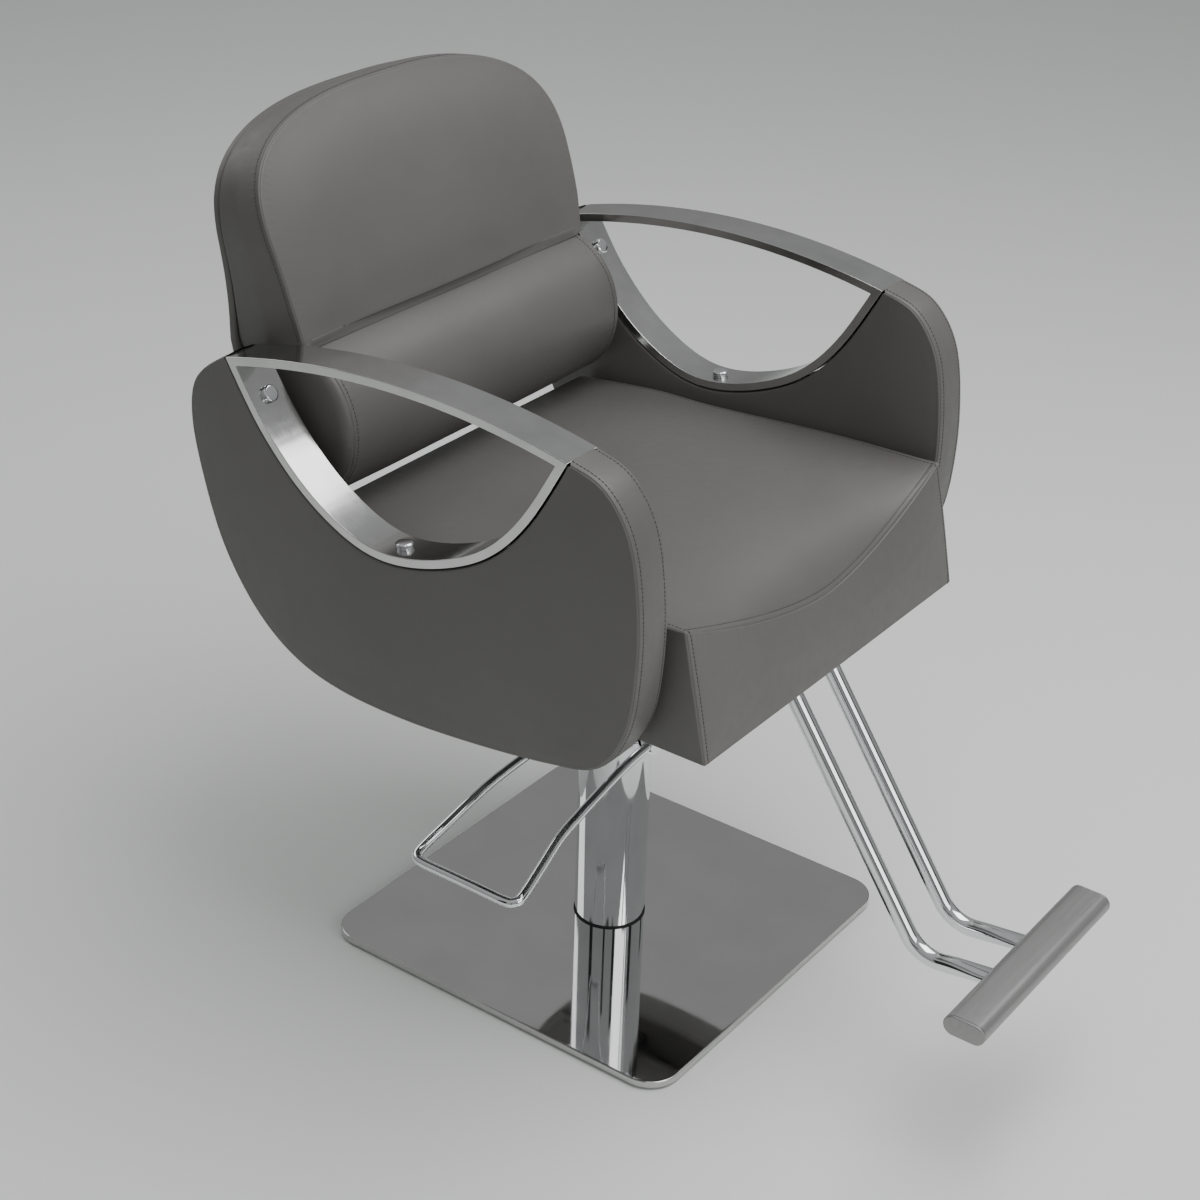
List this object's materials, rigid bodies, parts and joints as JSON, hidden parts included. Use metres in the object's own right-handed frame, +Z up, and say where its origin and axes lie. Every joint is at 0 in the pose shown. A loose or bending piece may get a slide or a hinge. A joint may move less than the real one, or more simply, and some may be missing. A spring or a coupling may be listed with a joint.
{
  "type": "styling chair",
  "caption": "Hydraulic styling chair with a square mirror base, foot pedal, upholstered seat, bent back, lumbar roll, crescent armrests and a bar footrest.",
  "frame": {"origin": "on the floor under the base plate's centre, which is the column's axis", "axes": "+Z up along the column, -Y towards the chair's front and footrest, +X to the left of the person seated"},
  "size_m": [0.6546, 1.0066, 1.0146],
  "materials": {
    "rubber": "matt",
    "steel": "satin",
    "mirror_steel": "mirror polished",
    "satin_steel": "satin brushed",
    "chrome": "bright chrome",
    "bronze": "machined",
    "iron": "machined casting",
    "black_steel": "black semi-gloss paint",
    "plywood": "raw plywood",
    "dust_cloth": "thin black cloth",
    "vinyl": "smooth fine-grained dark grey upholstery",
    "grey_alloy": "satin grey anodised"
  },
  "bodies": {
    "base": {"base_pads": "rubber", "ballast_plate": "steel", "base_cover": "mirror_steel", "post_foot": "steel", "post_bolts": "steel", "post_tube": "chrome", "post_gland": "bronze", "upper_bush": "bronze", "bump_ring": "rubber"},
    "ram": {"ram_rod": "chrome", "ram_piston": "iron", "piston_seal": "rubber", "thrust_bearing": "steel"},
    "seat_unit": {"sleeve": "chrome", "lower_bush": "bronze", "pump_body": "iron", "pump_spring": "steel", "mount_plate": "black_steel", "mount_bolts": "steel", "seat_rails": "black_steel", "seat_screws": "steel", "seat_board": "plywood", "dust_cover": "dust_cloth", "seat_cushion": "vinyl", "arm_core_right": "plywood", "arm_core_left": "plywood", "arm_outer_pad_right": "vinyl", "arm_outer_pad_left": "vinyl", "arm_inner_pad_right": "vinyl", "arm_inner_pad_left": "vinyl", "arm_boxing_right": "vinyl", "arm_boxing_left": "vinyl", "arm_band_right": "satin_steel", "arm_band_left": "satin_steel", "band_screws_right": "chrome", "band_screws_left": "chrome", "arm_bolts": "steel", "back_rail": "black_steel", "back_bolts": "steel", "back_board": "plywood", "back_cushion": "vinyl", "back_cover": "vinyl", "lumbar_roll": "vinyl", "footrest_clamp": "black_steel", "clamp_screws": "steel", "footrest_tube_right": "chrome", "footrest_tube_left": "chrome", "footrest_bar": "grey_alloy", "footrest_caps": "grey_alloy", "bar_screws": "steel"},
    "pedal": {"pedal_loop": "chrome", "pedal_shaft": "chrome", "rocker": "iron"},
    "plunger": {"plunger": "steel"}
  },
  "joints": [
    {"name": "height_slide", "type": "slide", "parent": "base", "child": "ram", "axis": [0, 0, 1], "range_m": [0, 0.12]},
    {"name": "seat_swivel", "type": "hinge", "parent": "ram", "child": "seat_unit", "pos_m": [0, 0, 0.24], "axis": [0, 0, 1], "continuous": true},
    {"name": "pedal_hinge", "type": "hinge", "parent": "seat_unit", "child": "pedal", "pos_m": [0, 0, 0.277], "axis": [0, -1, 0], "range_deg": [0, 20], "stiffness_Nm_per_rad": 6, "springref_deg": -28.65},
    {"name": "plunger_slide", "type": "slide", "parent": "seat_unit", "child": "plunger", "axis": [0, 0, 1], "range_m": [0, 0.0078], "deforming": ["pump_spring"]}
  ],
  "couplings": [
    {"joint": "plunger_slide", "follows": "pedal_hinge", "m_per_rad": 0.022}
  ]
}
